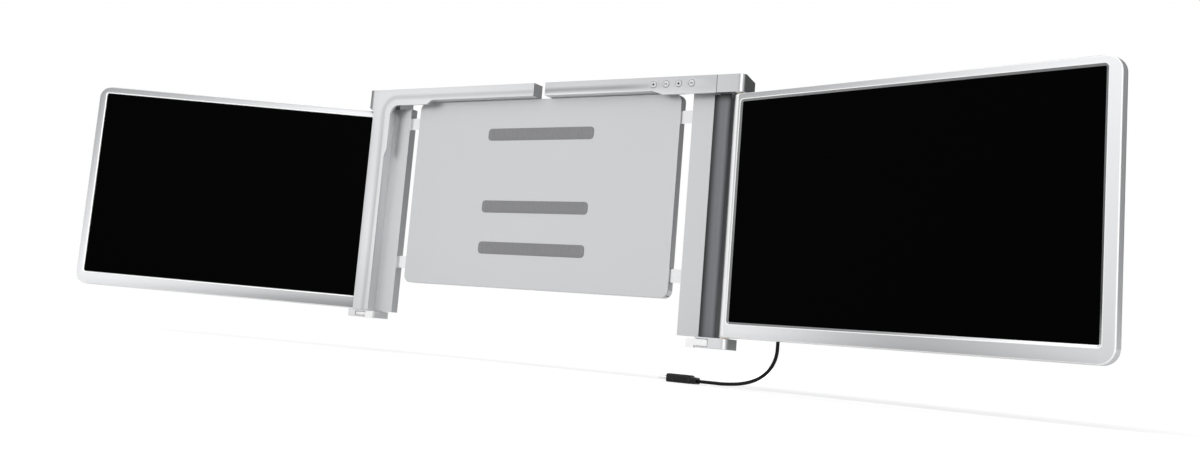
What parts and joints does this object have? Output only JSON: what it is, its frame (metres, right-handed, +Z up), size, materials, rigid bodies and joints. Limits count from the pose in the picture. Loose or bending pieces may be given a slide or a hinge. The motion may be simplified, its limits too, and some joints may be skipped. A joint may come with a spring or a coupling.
{
  "type": "laptop screen extender",
  "caption": "Two hinged side screens on a sliding two-part frame that clips round a laptop lid, with hook clips, control buttons, kickstand and a short captive lead.",
  "frame": {"origin": "front face of the middle lid pad, at the middle of the frame's width and height", "axes": "+X to the viewer's right along the frame, +Y to the back through the lid's thickness, +Z up"},
  "size_m": [0.8189, 0.1638, 0.2261],
  "materials": {
    "frame_silver": "satin silver",
    "cover_silver": "satin silver",
    "clip_white": "satin",
    "button_grey": "satin",
    "column_grey": "satin",
    "pad_grey": "matt silicone",
    "guide_white": "low-friction plastic",
    "steel": "machined",
    "bush_brass": "machined",
    "display_grey": "panel frame",
    "glass_black": "gloss black",
    "board_green": "solder mask",
    "switch_black": "matt",
    "lead_black": "matt jacket",
    "plug_black": "matt",
    "plug_steel": "bright"
  },
  "bodies": {
    "back_panel": {"panel_front_plate": "cover_silver", "panel_rear_cover": "cover_silver", "lid_pads": "pad_grey", "slide_guides": "guide_white", "panel_screws": "steel", "stand_pin": "steel"},
    "kickstand_body": {"kickstand": "cover_silver", "kickstand_foot": "pad_grey"},
    "left_half": {"left_front_frame": "frame_silver", "left_rear_shell": "cover_silver", "left_hinge_block": "frame_silver", "left_foot_block": "frame_silver", "left_slide_bars": "steel", "left_hinge_pins": "steel", "left_frame_screws": "steel"},
    "left_hook": {"left_clip": "clip_white"},
    "right_half": {"right_arm_front": "frame_silver", "right_arm_rear": "cover_silver", "right_corner_cap": "frame_silver", "right_spine_cover": "column_grey", "right_rear_shell": "cover_silver", "right_bracket": "frame_silver", "right_slide_bars": "steel", "right_hinge_pins": "steel", "button_board": "board_green", "button_switches": "switch_black", "right_frame_screws": "steel"},
    "right_hook": {"right_clip": "clip_white"},
    "left_plus": {"button_left_plus": "button_grey"},
    "left_minus": {"button_left_minus": "button_grey"},
    "right_plus": {"button_right_plus": "button_grey"},
    "right_minus": {"button_right_minus": "button_grey"},
    "left_screen": {"left_bezel": "frame_silver", "left_back_cover": "cover_silver", "left_display": "display_grey", "left_glass": "glass_black", "left_board": "board_green", "left_hinge_spine": "steel", "left_bushes": "bush_brass", "left_screen_screws": "steel"},
    "right_screen": {"right_bezel": "frame_silver", "right_back_cover": "cover_silver", "right_display": "display_grey", "right_glass": "glass_black", "right_board": "board_green", "right_hinge_spine": "steel", "right_bushes": "bush_brass", "right_screen_screws": "steel", "cable_gland": "plug_black", "lead": "lead_black", "plug_grip": "plug_black", "plug_shell": "plug_steel"}
  },
  "joints": [
    {"name": "left_slide", "type": "slide", "parent": "back_panel", "child": "left_half", "axis": [1, 0, 0], "range_m": [-0.025, 0.0045]},
    {"name": "right_slide", "type": "slide", "parent": "back_panel", "child": "right_half", "axis": [1, 0, 0], "range_m": [-0.0045, 0.025]},
    {"name": "left_hinge", "type": "hinge", "parent": "left_half", "child": "left_screen", "pos_m": [-0.162, 0.021, 0], "axis": [0, 0, -1], "range_deg": [-8, 214]},
    {"name": "right_hinge", "type": "hinge", "parent": "right_half", "child": "right_screen", "pos_m": [0.171, 0.002, 0], "axis": [0, 0, 1], "range_deg": [-25, 193.9]},
    {"name": "left_hook_slide", "type": "slide", "parent": "left_half", "child": "left_hook", "axis": [1, 0, 0], "range_m": [0, 0.004]},
    {"name": "right_hook_slide", "type": "slide", "parent": "right_half", "child": "right_hook", "axis": [-1, 0, 0], "range_m": [0, 0.004]},
    {"name": "left_plus_press", "type": "slide", "parent": "right_half", "child": "left_plus", "axis": [0, 1, 0], "range_m": [0, 0.0003], "stiffness_N_per_m": 4000},
    {"name": "left_minus_press", "type": "slide", "parent": "right_half", "child": "left_minus", "axis": [0, 1, 0], "range_m": [0, 0.0003], "stiffness_N_per_m": 4000},
    {"name": "right_plus_press", "type": "slide", "parent": "right_half", "child": "right_plus", "axis": [0, 1, 0], "range_m": [0, 0.0003], "stiffness_N_per_m": 4000},
    {"name": "right_minus_press", "type": "slide", "parent": "right_half", "child": "right_minus", "axis": [0, 1, 0], "range_m": [0, 0.0003], "stiffness_N_per_m": 4000},
    {"name": "kickstand_hinge", "type": "hinge", "parent": "back_panel", "child": "kickstand_body", "pos_m": [0, 0.0068, 0.02], "axis": [-1, 0, 0], "range_deg": [-60, 0]}
  ]
}
